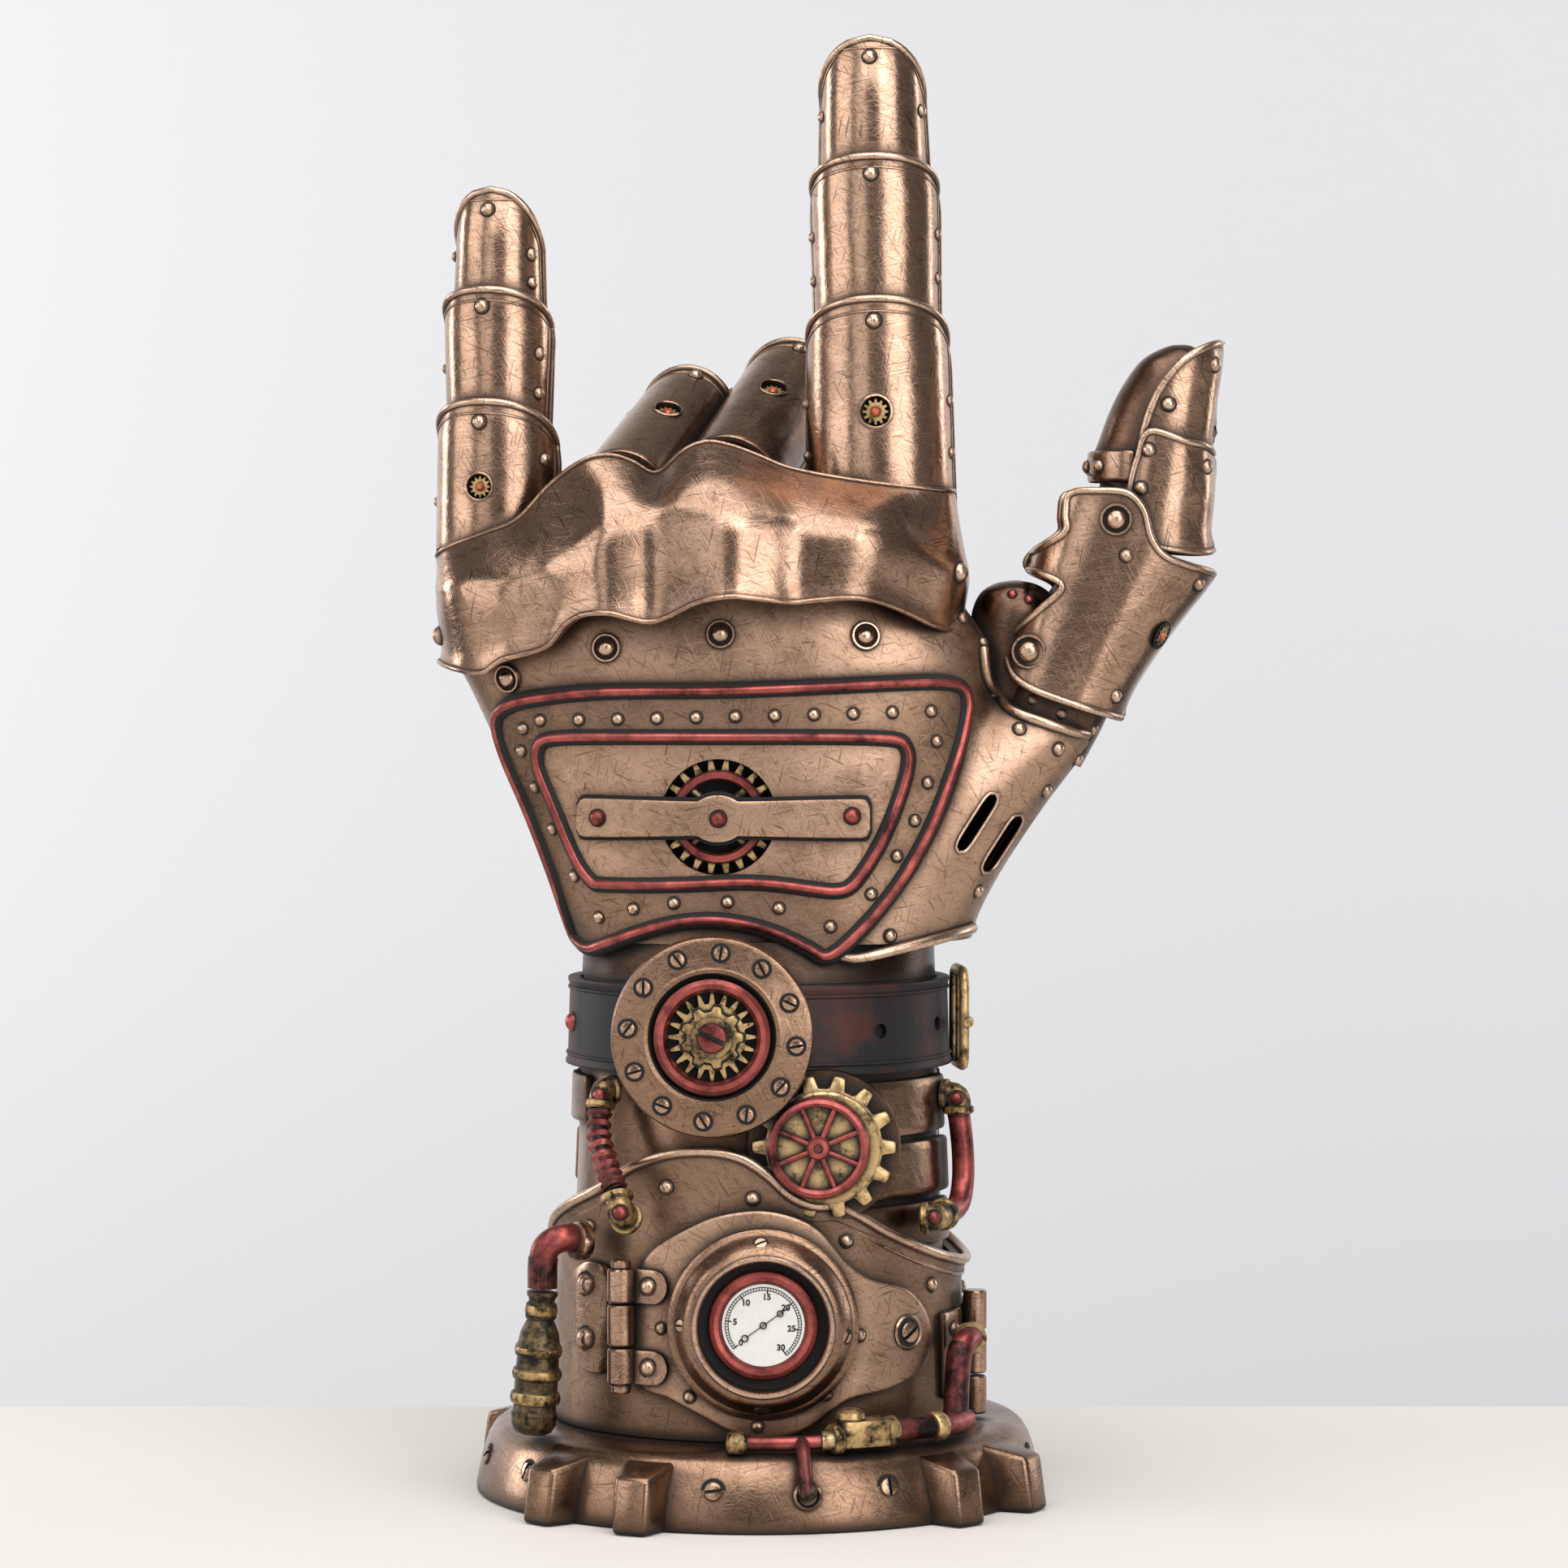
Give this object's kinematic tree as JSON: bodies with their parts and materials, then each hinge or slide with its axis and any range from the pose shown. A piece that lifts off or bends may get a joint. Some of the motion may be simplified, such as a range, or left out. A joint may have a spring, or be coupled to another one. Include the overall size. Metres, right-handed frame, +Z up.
{
  "type": "armoured gauntlet on a cog-shaped foot",
  "caption": "Hollow armoured gauntlet of a left hand, index and little fingers raised, with pipes, gears, a dial and a wrist strap, standing upright on its cog-shaped foot.",
  "frame": {"origin": "centre of the cog foot's underside, in the mouth of the arm opening", "axes": "+Z up along the forearm to the fingers, -Y towards the viewer of the back of the hand, +X to the thumb's side"},
  "size_m": [0.1297, 0.0983, 0.2394],
  "materials": {
    "bronze": "satin cold-cast bronze, brushed and scratched, dark in the recesses",
    "dark_bronze": "dark patinated bronze",
    "copper_red": "metallic copper red with a black wash",
    "brass": "dry-brushed brass over black",
    "leather": "dark brown, waxed, worn reddish",
    "dial": "printed under a clear coat"
  },
  "bodies": {
    "root": {"cog_foot": "bronze", "cuff": "bronze", "door_plate": "bronze", "door_hinge": "bronze", "gauge_bezel": "bronze", "door_lock_screw": "bronze", "side_hinge": "bronze", "medallion_flange": "bronze", "hand_shell": "bronze", "back_plate": "bronze", "palm_plate": "bronze", "window_bar": "bronze", "knuckle_guard": "bronze", "index_plate_1": "bronze", "index_plate_2": "bronze", "index_plate_3": "bronze", "little_plate_1": "bronze", "little_plate_2": "bronze", "little_plate_3": "bronze", "middle_segment_1": "bronze", "middle_segment_2": "bronze", "middle_segment_3": "bronze", "ring_segment_1": "bronze", "ring_segment_2": "bronze", "ring_segment_3": "bronze", "thumb_plate_1": "bronze", "thumb_plate_2": "bronze", "thumb_plate_3": "bronze", "arm_tube": "dark_bronze", "index_core": "dark_bronze", "little_core": "dark_bronze", "thumb_collar": "dark_bronze", "thumb_core_1": "dark_bronze", "thumb_core_2": "dark_bronze", "thumb_core_3": "dark_bronze", "gauge_ring": "copper_red", "spoke_wheel": "copper_red", "medallion_ring": "copper_red", "medallion_screw": "copper_red", "ribbed_hose": "copper_red", "side_pipe": "copper_red", "tank_elbow": "copper_red", "foot_pipe": "copper_red", "foot_branch": "copper_red", "outer_piping": "copper_red", "inner_piping": "copper_red", "wheel_cog": "brass", "medallion_gear": "brass", "strap_buckle": "brass", "buckle_prong": "brass", "hose_elbow_top": "brass", "hose_elbow_bottom": "brass", "pipe_elbow_top": "brass", "pipe_elbow_bottom": "brass", "pressure_tank": "brass", "valve_block": "brass", "window_gear": "brass", "strap": "leather", "gauge_dial": "dial"}
  },
  "joints": []
}
